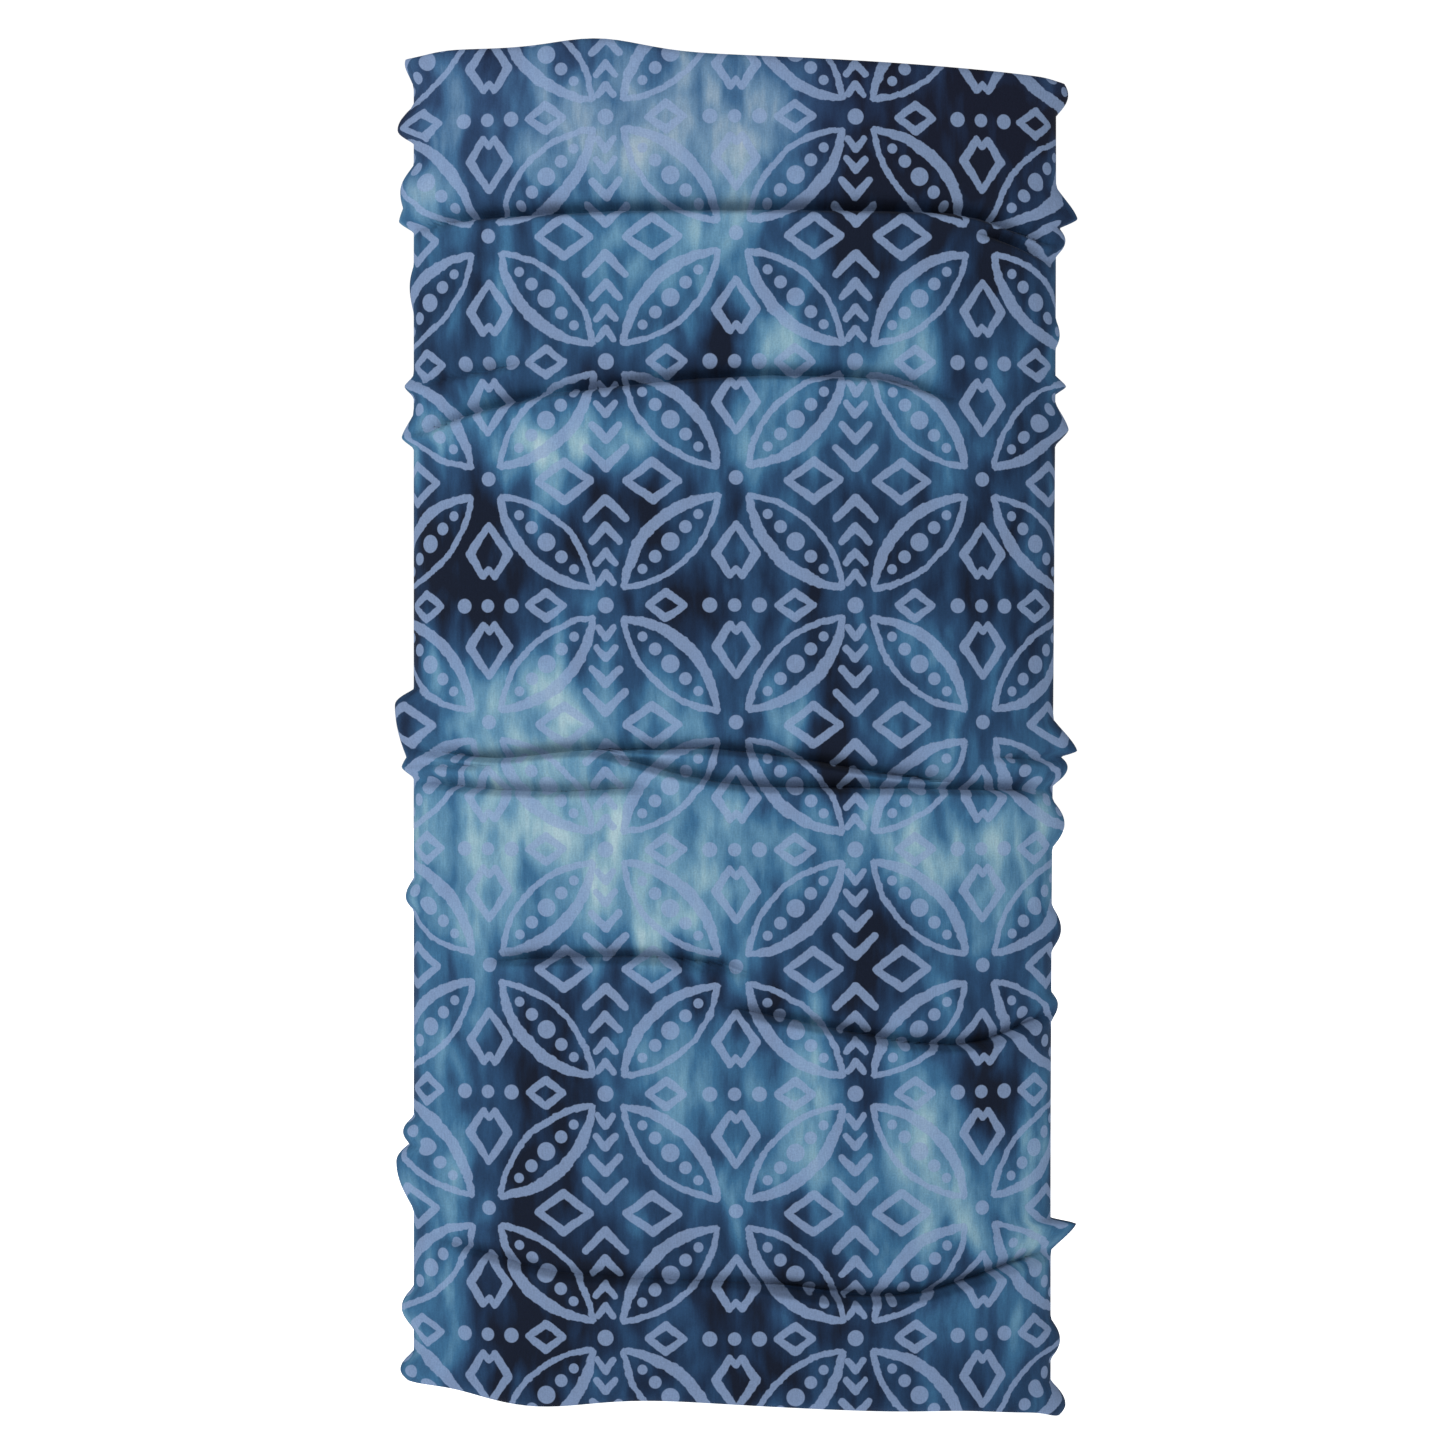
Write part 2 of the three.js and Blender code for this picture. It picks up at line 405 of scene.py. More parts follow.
def makeTubeCloth():
    deselectAll()
    bpy.ops.mesh.primitive_cylinder_add(vertices=knit["columns"], radius=1, depth=1,
                                        end_fill_type="NOTHING", location=(0, 0, 0))
    cloth = bpy.context.object
    cloth.name = "tubeCloth"
    cutUprightEdges(cloth, 5)
    cutUprightEdges(cloth, knit["rows"] // 5)
    plain = readPoints(cloth)
    turn = evenTurn(np.arctan2(plain[:, 0], -plain[:, 1]), knit["evenColumns"])
    across = halfWidth * np.sin(turn)
    deep = -halfDepth * np.cos(turn)
    height = rowHeights(turn, across, plain[:, 2] + 0.5)
    way = wayFromTurn(turn)
    layPrintMap(cloth, way, height)
    tone = cloth.data.attributes.new("dyeTone", "FLOAT", "POINT")
    tone.data.foreach_set("value", dyeTone(way, height).astype(np.float32))
    outside = np.column_stack([across, deep, height])
    writePoints(cloth, outside)
    wall = cloth.modifiers.new("wall", "SOLIDIFY")
    wall.thickness = knit["clothThickness"]
    wall.offset = -1
    wall.material_offset = 1
    wall.material_offset_rim = 2
    for finish in (printedKnit(), knitReverse(), cutKnitEdge()):
        cloth.data.materials.append(finish)
    applyModifiers(cloth)      # the wall comes before the folds, so its two faces never cross
    writePoints(cloth, foldCloth(readPoints(cloth), np.vstack([outside, outside])) * mm)
    bpy.ops.object.shade_smooth_by_angle(angle=math.radians(75))
    return cloth


def layPrintMap(cloth, way, height):
    # the map is the distance round from the middle of the front and the height, in metres,
    # and it is split at the seam
    mesh = cloth.data
    while mesh.uv_layers:
        mesh.uv_layers.remove(mesh.uv_layers[0])
    layer = mesh.uv_layers.new(name="clothWay")
    corners = np.zeros(len(mesh.loops), np.int64)
    mesh.loops.foreach_get("vertex_index", corners)
    faceSide = np.array([1.0 if face.center.x > 0 else -1.0 for face in mesh.polygons])
    sides = np.repeat(faceSide, [face.loop_total for face in mesh.polygons])
    cornerWay = np.abs(way[corners]) * np.where(np.abs(way[corners]) > halfRound - 1, sides,
                                                np.sign(way[corners]))
    places = np.column_stack([cornerWay, height[corners]]) * mm
    layer.data.foreach_set("uv", places.ravel())


# Shader nodes, written as sums

def feed(tree, value, socket):
    if isinstance(value, (int, float, tuple)):
        socket.default_value = value
    else:
        tree.links.new(value, socket)


def calc(tree, kind, *values, clamp=False):
    node = tree.nodes.new("ShaderNodeMath")
    node.operation = kind
    node.use_clamp = clamp
    for value, socket in zip(values, node.inputs):
        feed(tree, value, socket)
    return node.outputs[0]


def calcVector(tree, kind, *values):
    node = tree.nodes.new("ShaderNodeVectorMath")
    node.operation = kind
    for value, socket in zip(values, node.inputs):
        feed(tree, value, socket)
    return node.outputs["Value" if kind in ("LENGTH", "DOT_PRODUCT") else "Vector"]


def scaleVector(tree, value, factor):
    node = tree.nodes.new("ShaderNodeVectorMath")
    node.operation = "SCALE"
    feed(tree, value, node.inputs["Vector"])
    feed(tree, factor, node.inputs["Scale"])
    return node.outputs["Vector"]


def joinVector(tree, *parts):
    node = tree.nodes.new("ShaderNodeCombineXYZ")
    for value, socket in zip(parts, node.inputs):
        feed(tree, value, socket)
    return node.outputs[0]


def splitVector(tree, value):
    node = tree.nodes.new("ShaderNodeSeparateXYZ")
    feed(tree, value, node.inputs[0])
    return node.outputs[0], node.outputs[1]


def noise(tree, place, scale, detail, roughness, output="Fac"):
    node = tree.nodes.new("ShaderNodeTexNoise")
    feed(tree, place, node.inputs["Vector"])
    node.inputs["Scale"].default_value = scale
    node.inputs["Detail"].default_value = detail
    node.inputs["Roughness"].default_value = roughness
    return node.outputs[output]


def between(tree, value, low, high, outLow=0.0, outHigh=1.0):
    node = tree.nodes.new("ShaderNodeMapRange")
    node.interpolation_type = "SMOOTHSTEP"
    for item, socket in zip((value, low, high, outLow, outHigh), node.inputs):
        feed(tree, item, socket)
    return node.outputs[0]


def mixColour(tree, share, first, second, blend="MIX"):
    node = tree.nodes.new("ShaderNodeMix")
    node.data_type = "RGBA"
    node.blend_type = blend
    for item, socket in ((share, node.inputs[0]), (first, node.inputs[6]), (second, node.inputs[7])):
        feed(tree, item, socket)
    return node.outputs[2]


def bumpFrom(tree, height, distance):
    node = tree.nodes.new("ShaderNodeBump")
    node.inputs["Strength"].default_value = 1.0
    node.inputs["Distance"].default_value = distance
    tree.links.new(height, node.inputs["Height"])
    return node.outputs[0]


studioWhite = 1.5      # how bright a white cloth stands in the light of this studio


def seen(red, green, blue):
    # the cloth colour that looks like this screen colour under the studio light
    shades = [(part / 255 / 1.055 + 0.0521) ** 2.4 / studioWhite for part in (red, green, blue)]
    return (*shades, 1.0)


def newFinish(name, roughness, sheen=0.0):
    finish = bpy.data.materials.new(name)
    finish.use_nodes = True
    surface = finish.node_tree.nodes["Principled BSDF"]
    surface.inputs["Roughness"].default_value = roughness
    surface.inputs["Sheen Weight"].default_value = sheen
    surface.inputs["Sheen Roughness"].default_value = 0.5
    surface.inputs["Specular IOR Level"].default_value = 0.08
    return finish, finish.node_tree, surface


# The printed motif, in millimetres. One repeat has a small dot in its middle and a bigger one at its
# corners. Every figure is drawn once, to the right and above, and mirrored left and below, and each
# kind of figure sits a little off the middle, as the screens were laid.
motif = {
    "repeat": (90.9, 88.7),
    "middle": (0.7, 159),      # where one repeat has its middle on the cloth
    "offset": {"middle": (-0.4, 0), "leaf": (-1.5, -1.0), "row": (-0.9, -1.9), "column": (-2.4, -1.9)},
    "dots": [("middle", (0, 0), 2.6), ("column", (45.45, 44.35), 2.9), ("row", (0, 44.35), 2.4),
             ("row", (9, 44.35), 2.7)],
    "petalHalfLength": 23.9,
    "petalHalfWidth": 8.5,
    "petalStroke": (1.1, 2.3, 1.15),      # half widths: thin side, thick side, and at the tips
    "petalEnd": 0.8,
    "petalDots": [(0, 3.3), (7.7, 2.3), (14.2, 1.8)],
    "kite": [((2.2, 35.4), (7.3, 27.4), 1.3, 1.7), ((7.3, 27.4), (0, 16.8), 1.7, 1.2),
             ((0, 33), (2.2, 35.4), 1.2, 1.2)],      # start, end, half widths at both
    "diamonds": [("leaf", (29.3, 0), (9.6, 7.0), 1.65), ("column", (23.4, 44.35), (6.5, 4.7), 1.5)],
    "chevrons": [(5.6, 7.2, 12.8, 1.6), (15.8, 5.0, 21.2, 1.5), (25.0, 3.5, 29.0, 1.35),
                 (32.6, 2.9, 36.4, 1.3)],      # tip, half span, height of the arms, half width
    "wander": 0.55,      # how far the strokes stray, and how rough their edges are
    "tornEdge": 0.8,
    "inkCover": 0.72,
    "inkColour": (135, 156, 191),
}


def strokeGap(tree, place, start, end, startHalf, endHalf):
    # how far a place is outside a brush stroke
    run = (end[0] - start[0], end[1] - start[1], 0.0)
    fromStart = calcVector(tree, "SUBTRACT", place, (start[0], start[1], 0.0))
    lengthSquared = run[0] ** 2 + run[1] ** 2
    share = calc(tree, "DIVIDE", calcVector(tree, "DOT_PRODUCT", fromStart, run), lengthSquared, clamp=True)
    gap = calcVector(tree, "LENGTH", calcVector(tree, "SUBTRACT", fromStart, scaleVector(tree, run, share)))
    half = calc(tree, "MULTIPLY_ADD", share, endHalf - startHalf, startHalf)
    return calc(tree, "SUBTRACT", gap, half)


def dotGap(tree, place, across, up, radius):
    reach = calcVector(tree, "LENGTH", calcVector(tree, "SUBTRACT", place, (across, up, 0.0)))
    return calc(tree, "SUBTRACT", reach, radius)


def nearest(tree, gaps):
    least = gaps[0]
    for gap in gaps[1:]:
        least = calc(tree, "MINIMUM", least, gap)
    return least


def leafPlace(tree, place):
    # how far a place is along a leaf and beside it, from the middle of the leaf
    centreAcross, centreUp = motif["repeat"][0] / 4, motif["repeat"][1] / 4
    size = math.hypot(centreAcross, centreUp)
    along = (centreAcross / size, centreUp / size, 0.0)
    beside = (-along[1], along[0], 0.0)
    fromCentre = calcVector(tree, "SUBTRACT", place, (centreAcross, centreUp, 0.0))
    return [calcVector(tree, "DOT_PRODUCT", fromCentre, run) for run in (along, beside)]


def petalGap(tree, place, side):
    # a pointed leaf between two dots, drawn as two arcs
    alongLeaf, besideLeaf = leafPlace(tree, place)
    halfLength, halfWide = motif["petalHalfLength"], motif["petalHalfWidth"]
    radius = (halfLength ** 2 + halfWide ** 2) / (2 * halfWide)
    out = calc(tree, "ADD", calc(tree, "ABSOLUTE", besideLeaf), radius - halfWide)
    fromMiddle = calcVector(tree, "LENGTH", joinVector(tree, alongLeaf, out, 0.0))
    fromArc = calc(tree, "ABSOLUTE", calc(tree, "SUBTRACT", fromMiddle, radius))
    thin, thick, tip = motif["petalStroke"]
    thickSide = calc(tree, "LESS_THAN", calc(tree, "MULTIPLY", besideLeaf, side), 0.0)
    middleHalf = calc(tree, "MULTIPLY_ADD", thickSide, thick - thin, thin)
    share = calc(tree, "DIVIDE", alongLeaf, halfLength)
    fall = calc(tree, "MULTIPLY", share, share)
    thinned = calc(tree, "MULTIPLY", fall, calc(tree, "SUBTRACT", middleHalf, tip))
    arc = calc(tree, "SUBTRACT", fromArc, calc(tree, "SUBTRACT", middleHalf, thinned))
    beyond = calc(tree, "SUBTRACT", calc(tree, "ABSOLUTE", alongLeaf), halfLength + motif["petalEnd"])
    return calc(tree, "MAXIMUM", arc, beyond)


def petalDotGaps(tree, place):
    # the row of dots down the middle of a leaf
    alongLeaf, besideLeaf = leafPlace(tree, place)
    row = joinVector(tree, calc(tree, "ABSOLUTE", alongLeaf), besideLeaf, 0.0)
    return [dotGap(tree, row, at, 0.0, radius) for at, radius in motif["petalDots"]]


def intoRepeat(tree, place, kind):
    # folds a place into a quarter of the repeat, and says which way that quarter was turned
    (wide, tall), (middleAcross, middleUp) = motif["repeat"], motif["middle"]
    aside, above = motif["offset"][kind]
    centred = calcVector(tree, "SUBTRACT", place, (middleAcross + aside, middleUp + above, 0.0))
    across, up = splitVector(tree, centred)
    across = calc(tree, "WRAP", across, wide / 2, -wide / 2)
    up = calc(tree, "WRAP", up, tall / 2, -tall / 2)
    side = calc(tree, "SIGN", calc(tree, "MULTIPLY", across, up))
    return joinVector(tree, calc(tree, "ABSOLUTE", across), calc(tree, "ABSOLUTE", up), 0.0), side


def motifInk(tree, place):
    # 1 where the motif is printed, from a place in millimetres
    slow = calcVector(tree, "SUBTRACT", noise(tree, place, 0.11, 1.0, 0.5, "Color"), (0.5, 0.5, 0.5))
    fast = calcVector(tree, "SUBTRACT", noise(tree, place, 0.36, 2.0, 0.6, "Color"), (0.5, 0.5, 0.5))
    shift = calcVector(tree, "ADD", scaleVector(tree, slow, 3 * motif["wander"]),
                       scaleVector(tree, fast, 2 * motif["tornEdge"]))
    rough = calcVector(tree, "ADD", place, shift)
    soft = calcVector(tree, "ADD", place, scaleVector(tree, shift, 0.6))
    drawn = [petalGap(tree, *intoRepeat(tree, rough, "leaf"))]
    drawn += petalDotGaps(tree, intoRepeat(tree, place, "leaf")[0])
    for kind, middle, radius in motif["dots"]:
        drawn.append(dotGap(tree, intoRepeat(tree, place, kind)[0], *middle, radius))
    kitePlace = intoRepeat(tree, soft, "middle")[0]
    drawn += [strokeGap(tree, kitePlace, *stroke) for stroke in motif["kite"]]
    for kind, (across, up), (halfLong, halfTall), half in motif["diamonds"]:
        folded = intoRepeat(tree, soft, kind)[0]
        corner = calcVector(tree, "ABSOLUTE", calcVector(tree, "SUBTRACT", folded, (across, up, 0.0)))
        drawn.append(strokeGap(tree, corner, (halfLong, 0), (0, halfTall), half * 0.8, half))
    across, up = splitVector(tree, intoRepeat(tree, soft, "column")[0])
    column = joinVector(tree, calc(tree, "SUBTRACT", motif["repeat"][0] / 2, across), up, 0.0)
    for tip, span, arm, half in motif["chevrons"]:
        drawn.append(strokeGap(tree, column, (0, tip), (span, arm), half * 1.1, half * 0.85))
    return between(tree, nearest(tree, drawn), -0.16, 0.2, 1.0, 0.0)


def clothPlace(tree):
    # the cloth's own map, in millimetres
    mapNode = tree.nodes.new("ShaderNodeUVMap")
    mapNode.uv_map = "clothWay"
    return scaleVector(tree, mapNode.outputs[0], 1 / mm)


def knitBump(tree, place, distance):
    # fine upright ribs of loops, broken up a little along their length
    ribs = calcVector(tree, "MULTIPLY", place, (1.9, 0.35, 1.0))
    loops = calcVector(tree, "MULTIPLY", place, (1.3, 1.6, 1.0))
    height = calc(tree, "ADD", noise(tree, ribs, 1.0, 3.0, 0.6), noise(tree, loops, 1.0, 2.0, 0.5))
    return bumpFrom(tree, height, distance), height


def poolTone(tree):
    # how pale the cloth is, from the pools of dye
    node = tree.nodes.new("ShaderNodeAttribute")
    node.attribute_name = "dyeTone"
    return node.outputs["Fac"]


def addStreaks(tree, total, place, streaks):
    across, up, detail, roughness, strength = streaks
    runs = noise(tree, calcVector(tree, "MULTIPLY", place, (across, up, 1.0)), 1.0, detail, roughness)
    return calc(tree, "MULTIPLY_ADD", calc(tree, "SUBTRACT", runs, 0.5), strength, total)


def dyeColour(tree, place):
    # the dye ran in upright streaks inside the pools
    bend = calcVector(tree, "SUBTRACT", noise(tree, place, 0.03, 2.0, 0.5, "Color"), (0.5, 0.5, 0.5))
    bent = calcVector(tree, "ADD", place, calcVector(tree, "MULTIPLY", bend, dye["streakBend"]))
    total = poolTone(tree)
    for streaks in dye["streaks"]:
        total = addStreaks(tree, total, bent, streaks)
    total = addStreaks(tree, total, place, dye["fineStreaks"])
    ramp = tree.nodes.new("ShaderNodeValToRGB")
    ramp.color_ramp.interpolation = "LINEAR"
    steps = ramp.color_ramp.elements
    while len(steps) < len(dye["ramp"]):
        steps.new(0.5)
    for step, (at, colour) in zip(steps, dye["ramp"]):
        step.position = at
        step.color = seen(*colour)
    tree.links.new(total, ramp.inputs[0])
    high = between(tree, splitVector(tree, place)[1], *dye["mauveFrom"])
    mauve = mixColour(tree, 1.0, ramp.outputs[0], dye["mauve"], "MULTIPLY")
    return mixColour(tree, high, ramp.outputs[0], mauve)


def paintedWeaveShade(tree, colour, relief, low, high, dark, light):
    # painted shade and light: the colour is darkened in the hollows of a weave and can be brightened on its
    # tops
    shade = between(tree, relief, low, high, dark, light)
    return mixColour(tree, 1.0, colour, joinVector(tree, shade, shade, shade), "MULTIPLY")


def printedKnit():
    finish, tree, surface = newFinish("printedKnit", 0.86, 0.015)
    place = clothPlace(tree)
    bump, ribs = knitBump(tree, place, knit["printRelief"] * mm)
    cover = calc(tree, "MULTIPLY", motifInk(tree, place), motif["inkCover"])
    printed = mixColour(tree, cover, dyeColour(tree, place), seen(*motif["inkColour"]))
    # painted shade in the hollows of the knit and painted light on the tops of its loops
    tree.links.new(paintedWeaveShade(tree, printed, ribs, 0.6, 1.4, 0.86, 1.1), surface.inputs["Base Color"])
    tree.links.new(bump, surface.inputs["Normal"])
    return finish


def knitReverse():
    # the dye only ghosts through to the inside
    finish, tree, surface = newFinish("knitReverse", 0.9, 0.15)
    bump, ribs = knitBump(tree, clothPlace(tree), knit["reverseRelief"] * mm)
    ghost = between(tree, poolTone(tree), 0.0, 1.0)
    base = mixColour(tree, ghost, seen(150, 168, 190), seen(196, 208, 214))
    # painted shade in the hollows of the knit and painted light on the tops of its loops
    tree.links.new(paintedWeaveShade(tree, base, ribs, 0.6, 1.4, 0.88, 1.06), surface.inputs["Base Color"])
    tree.links.new(bump, surface.inputs["Normal"])
    return finish


def cutKnitEdge():
    finish, tree, surface = newFinish("cutKnitEdge", 0.9)
    bump, ribs = knitBump(tree, clothPlace(tree), knit["edgeRelief"] * mm)
    # the cut edge is dark blue, with painted shade in the hollows of its loops and painted light on their
    # tops
    colour = mixColour(tree, between(tree, ribs, 0.7, 1.3), seen(38, 56, 84), seen(88, 112, 142))
    tree.links.new(colour, surface.inputs["Base Color"])
    tree.links.new(bump, surface.inputs["Normal"])
    return finish


# The flatlock seam down the middle of the back
seam = {
    "stitchLength": 2.5,
    "stitchFilled": 0.86,      # share of each stitch that shows as thread
    "threadSize": 0.4,
    "tipInset": 0.25,          # how the ends of a stitch are rounded, as shares of its size
    "tipHeight": 0.3,
    "endInset": 1.2,
    "sink": 0.06,              # how far a thread beds into the cloth
    "turnHalf": 0.16,          # half the height of the bend where a crossing thread turns back
    "coverStart": 0.3,
    "looperStart": 0.9,
    "twistPitch": 0.42,
    "twistDepth": 0.05,
}


def threadFinish():
    finish, tree, surface = newFinish("sewingThread", 0.55, 0.25)
    place = tree.nodes.new("ShaderNodeTexCoord").outputs["Object"]
    place = scaleVector(tree, place, 1 / mm)
    slant = calcVector(tree, "DOT_PRODUCT", place, (0.8, 0.3, 1.0))
    ply = calc(tree, "SINE", calc(tree, "MULTIPLY", slant, 2 * math.pi / seam["twistPitch"]))
    fuzz = noise(tree, place, 3.0, 3.0, 0.6)
    height = calc(tree, "MULTIPLY_ADD", fuzz, 0.8, ply)
    tree.links.new(bumpFrom(tree, height, seam["twistDepth"] * mm), surface.inputs["Normal"])
    # painted shade in the grooves between the twisted plies and painted light on the plies
    colour = mixColour(tree, between(tree, height, -1.0, 1.6), seen(30, 44, 68), seen(74, 98, 134))
    tree.links.new(colour, surface.inputs["Base Color"])
    return finish


def outsideAt(across):
    return halfDepth * math.sqrt(1 - (across / halfWidth) ** 2)


def makeNeedleRow(name, node, finish):
    low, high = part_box(node)
    across = (low.x + high.x) / 2 / mm
    size, pitch = seam["threadSize"], seam["stitchLength"]
    firstHeight = bottomEdge(across) + seam["endInset"]
    lastHeight = topEdge(across) - seam["endInset"]
    count = int((lastHeight - firstHeight) / pitch)
    deselectAll()
    bpy.ops.mesh.primitive_cylinder_add(vertices=6, radius=size / 2, depth=pitch * seam["stitchFilled"])
    row = bpy.context.object
    row.name = name
    bpy.ops.object.mode_set(mode="EDIT")
    bpy.ops.mesh.select_mode(type="FACE")
    bpy.ops.mesh.select_all(action="DESELECT")
    editMesh = bmesh.from_edit_mesh(row.data)
    for face in editMesh.faces:
        face.select = abs(face.normal.z) > 0.9
    bmesh.update_edit_mesh(row.data)
    bpy.ops.mesh.inset(thickness=size * seam["tipInset"], depth=size * seam["tipHeight"])
    bpy.ops.object.mode_set(mode="OBJECT")
    repeat = row.modifiers.new("stitches", "ARRAY")
    repeat.count = count
    repeat.use_relative_offset = False
    repeat.use_constant_offset = True
    repeat.constant_offset_displace = (0, 0, pitch)
    applyModifiers(row)
    points = readPoints(row)
    points += (across, outsideAt(across) + size / 2 - seam["sink"], firstHeight + pitch / 2)
    writePoints(row, foldCloth(points) * mm)
    finishThread(row, node, finish)
    return row


def makeCrossingThread(name, node, finish, deep, start):
    # one thread laid to and fro across the needle rows, twice for every stitch
    low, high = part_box(node)
    reach = (high.x - low.x) / 2 / mm - seam["threadSize"] / 2
    pitch = seam["stitchLength"]
    lowest = bottomEdge(0) + seam["endInset"] + start
    count = int((topEdge(0) - seam["endInset"] - lowest) / pitch)
    points = []
    for turn in range(2 * count):
        side = 1 if turn % 2 else -1
        height = lowest + turn * pitch / 2
        points.append((side * reach * 0.9, deep, height - seam["turnHalf"]))
        points.append((side * reach, deep, height))
        points.append((side * reach * 0.9, deep, height + seam["turnHalf"]))
        points.append((side * reach * 0.3, deep, height + pitch * 0.17))
        points.append((-side * reach * 0.3, deep, height + pitch * 0.33))
    path = foldCloth(np.array(points)) * mm
    deselectAll()
    bpy.ops.curve.primitive_nurbs_path_add()
    thread = bpy.context.object
    thread.name = name
    thread.data.splines.clear()
    line = thread.data.splines.new("POLY")
    line.points.add(len(path) - 1)
    line.points.foreach_set("co", np.column_stack([path, np.ones(len(path))]).ravel())
    thread.data.bevel_depth = seam["threadSize"] / 2 * mm
    thread.data.bevel_resolution = 1
    thread.data.use_fill_caps = True
    bpy.ops.object.convert(target="MESH")
    thread = bpy.context.object
    bpy.ops.object.mode_set(mode="EDIT")
    bpy.ops.mesh.select_all(action="SELECT")
    bpy.ops.mesh.remove_doubles(threshold=1e-6)
    bpy.ops.mesh.normals_make_consistent(inside=False)
    bpy.ops.object.mode_set(mode="OBJECT")
    finishThread(thread, node, finish)
    return thread


def finishThread(piece, node, finish):
    makeActive(piece)
    bpy.ops.object.shade_smooth()
    piece.data.materials.clear()
    piece.data.materials.append(finish)
    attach(piece, "tube")
    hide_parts(node)


# The care label, a ribbon folded double with its two ends sewn into the seam
label = {
    "columns": 72,
    "rows": 20,
    "solidThickness": 0.5,      # of the solid that the ribbon stands for
    "plyThickness": 0.12,
    "plyGap": 0.17,             # middle of the fold to the middle of each ply
    "rootGap": 0.09,            # the plies are pressed together in the seam
    "warp": 0.05,               # slack of the ribbon, within the thickness of the solid
    "foldCrowd": 1.6,           # columns crowd at the fold
    "warpPitch": 0.22,          # the satin weave
    "floatPitch": (0.55, 0.44),
    "satinRelief": 0.03,
}
labelLow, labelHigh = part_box("care_label")


def labelSatin():
    finish, tree, surface = newFinish("labelSatin", 0.42, 0.3)
    mapNode = tree.nodes.new("ShaderNodeUVMap")
    mapNode.uv_map = "ribbonWay"
    place = scaleVector(tree, mapNode.outputs[0], 1 / mm)
    across, up = splitVector(tree, place)
    warpThreads = calc(tree, "SINE", calc(tree, "MULTIPLY", up, 2 * math.pi / label["warpPitch"]))
    pitchAcross, pitchUp = label["floatPitch"]
    upTurn = calc(tree, "MULTIPLY", up, 2 * math.pi / pitchUp)
    floats = calc(tree, "SINE", calc(tree, "MULTIPLY_ADD", across, 2 * math.pi / pitchAcross, upTurn))
    weave = calc(tree, "MULTIPLY_ADD", floats, 0.6, warpThreads)
    tree.links.new(bumpFrom(tree, weave, label["satinRelief"] * mm), surface.inputs["Normal"])
    patch = noise(tree, place, 0.35, 3.0, 0.5)
    cloudy = mixColour(tree, patch, seen(222, 221, 216), seen(238, 238, 234))
    halfRibbon = (labelHigh.z - labelLow.z) / mm / 2
    fromEdge = calc(tree, "SUBTRACT", halfRibbon, calc(tree, "ABSOLUTE", up))
    selvedge = between(tree, fromEdge, 0.2, 0.9)
    colour = mixColour(tree, selvedge, seen(196, 196, 192), cloudy)
    # painted shade in the hollows of the satin weave
    tree.links.new(paintedWeaveShade(tree, colour, weave, -1.6, 1.6, 0.94, 1.0), surface.inputs["Base Color"])
    return finish


def makeCareLabel():
    columns, rows = label["columns"], label["rows"]
    deselectAll()
    bpy.ops.mesh.primitive_grid_add(x_subdivisions=columns, y_subdivisions=rows, size=2)
    ribbon = bpy.context.object
    ribbon.name = "careLabel"
    plain = readPoints(ribbon)
    halfThick = label["solidThickness"] / 2
    rootDeep, tipDeep = labelHigh.y / mm - halfThick, labelLow.y / mm + halfThick
    rootAcross = labelLow.x / mm + label["plyThickness"]
    reach = labelHigh.x / mm - rootAcross - label["plyGap"] - label["plyThickness"] / 2
    lean = math.atan2(tipDeep - rootDeep, reach)
    halfTall = (labelHigh.z - labelLow.z) / mm / 2
    run = np.sign(plain[:, 0]) * np.abs(plain[:, 0]) ** label["foldCrowd"]
    turn = math.pi / 2 * label["plyGap"]
    distance = run * (reach + turn)
    onFold = np.abs(distance) < turn
    angle = np.clip(distance / label["plyGap"], -math.pi / 2, math.pi / 2)
    out = np.where(onFold, reach + label["plyGap"] * np.cos(angle), reach + turn - np.abs(distance))
    pressed = easeIn(out / 4)
    ply = label["rootGap"] + (label["plyGap"] - label["rootGap"]) * pressed
    side = np.where(onFold, label["plyGap"] * np.sin(angle), np.sign(distance) * ply)
    up = plain[:, 1] * halfTall
    side = side + label["warp"] * np.sin(out / reach * math.pi) * np.sin(up / halfTall * 1.6 + out / 7)
    across = rootAcross + out * math.cos(lean) - side * math.sin(lean)
    deep = rootDeep + out * math.sin(lean) + side * math.cos(lean)
    height = (labelLow.z + labelHigh.z) / 2 / mm + up
    layRibbonMap(ribbon, distance, up)
    writePoints(ribbon, np.column_stack([across, deep, height]) * mm)
    wall = ribbon.modifiers.new("ply", "SOLIDIFY")
    wall.thickness = label["plyThickness"] * mm
    wall.offset = 0
    applyModifiers(ribbon)
    bpy.ops.object.shade_smooth_by_angle(angle=math.radians(40))
    ribbon.data.materials.append(labelSatin())
    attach(ribbon, "label")
    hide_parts("care_label")


def layRibbonMap(piece, distance, up):
    mesh = piece.data
    while mesh.uv_layers:
        mesh.uv_layers.remove(mesh.uv_layers[0])
    layer = mesh.uv_layers.new(name="ribbonWay")
    corners = np.zeros(len(mesh.loops), np.int64)
    mesh.loops.foreach_get("vertex_index", corners)
    layer.data.foreach_set("uv", (np.column_stack([distance[corners], up[corners]]) * mm).ravel())


# The studio: a white floor and surround, one large soft light high on the left
studio = {
    "surround": 0.45,
    "backdrop": 1.05,
    "floorGlow": 1.1,
    "floorSize": 14,
    "keyPlace": (-1.5, -2.4, 1.9),
    "keySize": 1.6,
    "keyPower": 74,
    "lens": 85,
    "cameraDistance": 1.264,
    "cameraAside": -4.6,      # millimetres from the middle of the tube, and above it
    "cameraAbove": 3.5,
}


def aimAt(piece, target):
    gaze = mathutils.Vector(target) - piece.location
    piece.rotation_euler = gaze.to_track_quat("-Z", "Y").to_euler()


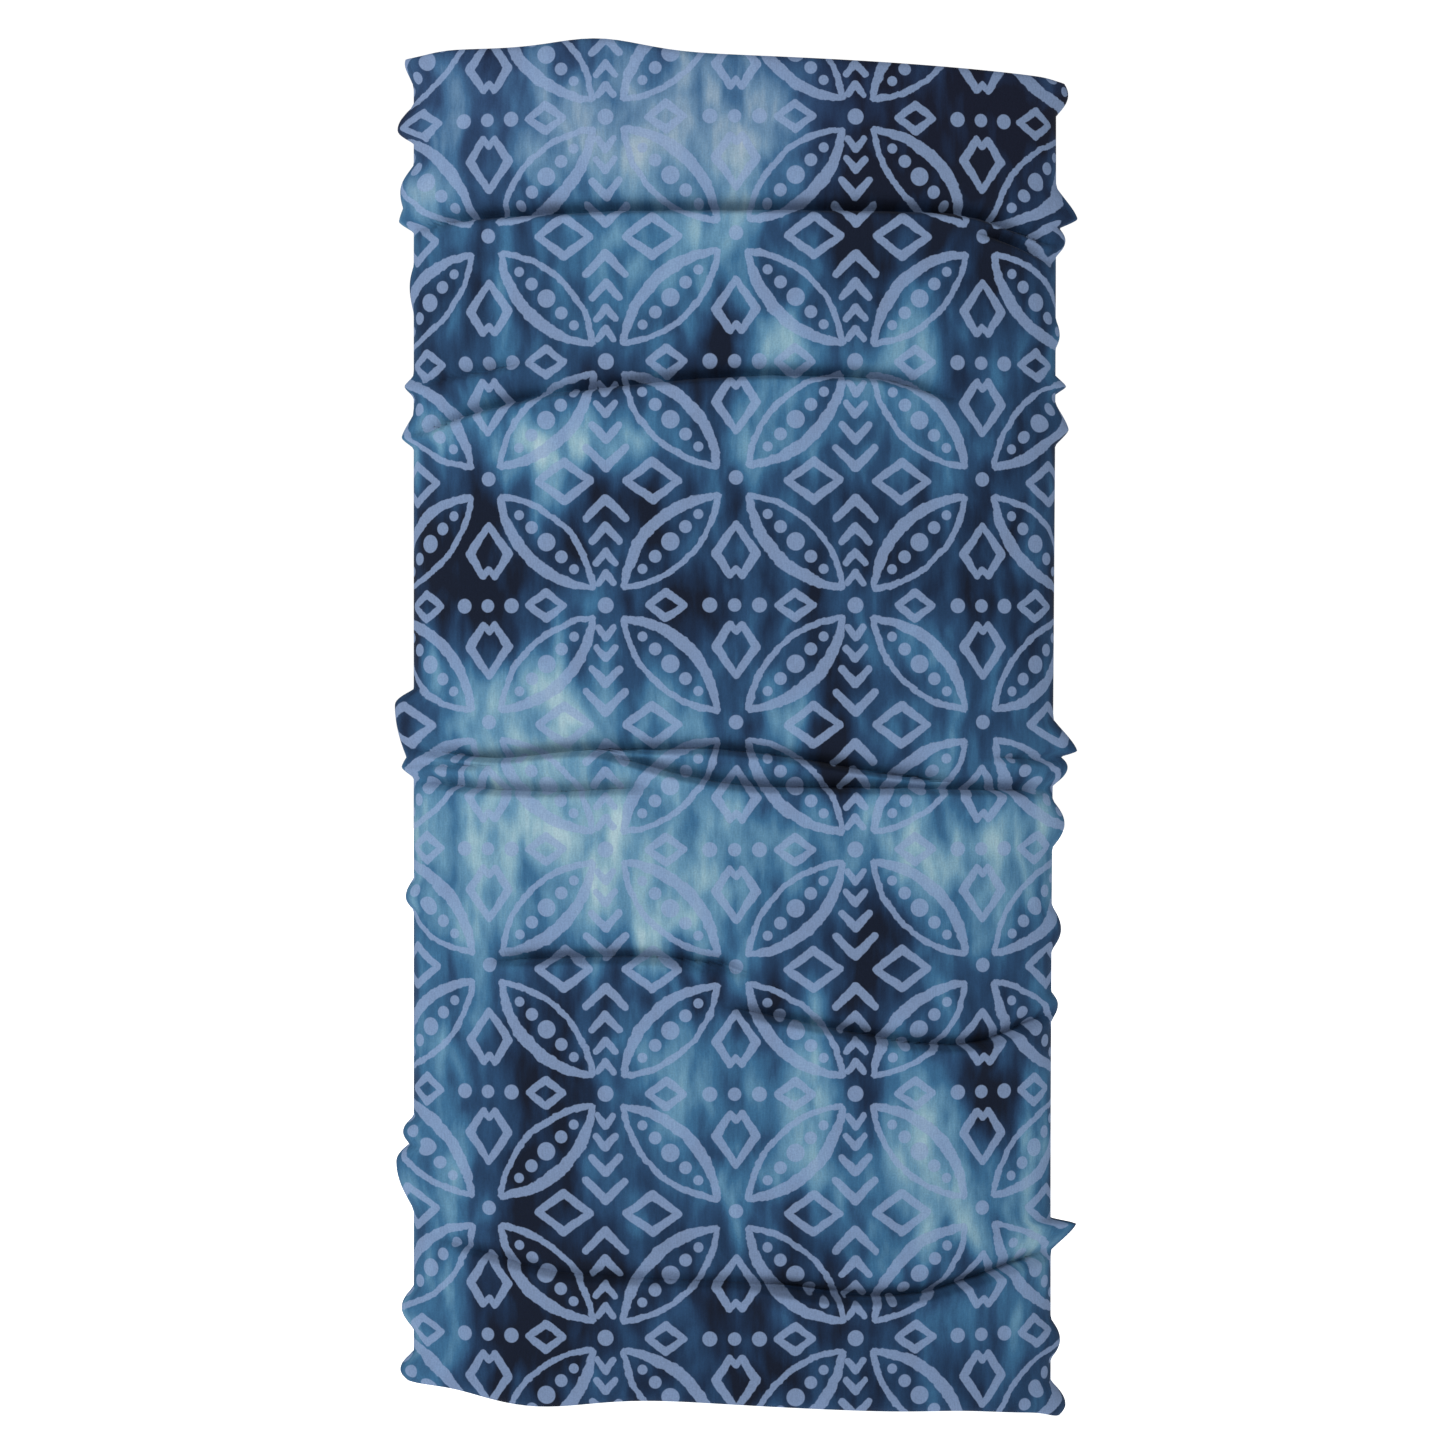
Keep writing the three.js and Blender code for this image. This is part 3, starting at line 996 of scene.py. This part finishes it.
def makeFloor(height):
    deselectAll()
    bpy.ops.mesh.primitive_plane_add(size=studio["floorSize"], location=(0, 0, 0))
    floor = bpy.context.object
    floor.name = "studioFloor"
    points = readPoints(floor)
    points[:, 2] = height
    writePoints(floor, points)
    finish, _, surface = newFinish("floorWhite", 0.9)
    surface.inputs["Base Color"].default_value = (0.9, 0.9, 0.9, 1)
    surface.inputs["Emission Color"].default_value = (1, 1, 1, 1)
    surface.inputs["Emission Strength"].default_value = studio["floorGlow"]
    floor.data.materials.append(finish)
    floor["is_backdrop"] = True


def makeLight():
    scene = bpy.context.scene
    world = bpy.data.worlds.new("studio")
    scene.world = world
    world.use_nodes = True
    tree = world.node_tree
    surround = tree.nodes["Background"]
    backdrop = tree.nodes.new("ShaderNodeBackground")
    surround.inputs["Color"].default_value = (0.97, 0.985, 1, 1)
    surround.inputs["Strength"].default_value = studio["surround"]
    backdrop.inputs["Color"].default_value = (1, 1, 1, 1)
    backdrop.inputs["Strength"].default_value = studio["backdrop"]
    pick = tree.nodes.new("ShaderNodeMixShader")
    tree.links.new(tree.nodes.new("ShaderNodeLightPath").outputs["Is Camera Ray"], pick.inputs[0])
    tree.links.new(surround.outputs[0], pick.inputs[1])
    tree.links.new(backdrop.outputs[0], pick.inputs[2])
    tree.links.new(pick.outputs[0], tree.nodes["World Output"].inputs[0])
    deselectAll()
    bpy.ops.object.light_add(type="AREA", location=studio["keyPlace"])
    key = bpy.context.object
    key.name = "keyLight"
    key.data.shape = "SQUARE"
    key.data.size = studio["keySize"]
    key.data.energy = studio["keyPower"]
    aimAt(key, (0, 0, tubeLength / 2 * mm))


def makeCamera():
    scene = bpy.context.scene
    middle = (tubeLow.z + tubeHigh.z) / 2 + studio["cameraAbove"] * mm
    aside = studio["cameraAside"] * mm
    deselectAll()
    bpy.ops.object.camera_add(location=(aside, -studio["cameraDistance"], middle),
                              rotation=(math.pi / 2, 0, 0))
    camera = bpy.context.object
    camera.data.lens = studio["lens"]
    camera.data.sensor_width = 36
    camera.data.clip_end = 50
    scene.camera = camera
    scene.view_settings.view_transform = "Standard"
    scene.view_settings.look = "None"


print("stage: camera and light")
makeCamera()
makeLight()

print("stage: tube cloth")
tubeCloth = makeTubeCloth()
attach(tubeCloth, "tube")
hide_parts("tube_panel")

print("stage: flatlock seam")
thread = threadFinish()
threads = [makeNeedleRow(f"needleStitches{row}", f"needle_thread_{row}", thread) for row in range(1, 5)]
coverDeep = halfDepth + seam["threadSize"] * 1.5 - 2 * seam["sink"]
looperDeep = halfDepth - knit["clothThickness"] - seam["threadSize"] / 2 + seam["sink"]
threads.append(makeCrossingThread("coverThread", "cover_thread", thread, coverDeep, seam["coverStart"]))
threads.append(makeCrossingThread("looperThread", "looper_thread", thread, looperDeep, seam["looperStart"]))

print("stage: care label")
makeCareLabel()

print("stage: floor")
makeFloor(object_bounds()[0].z)
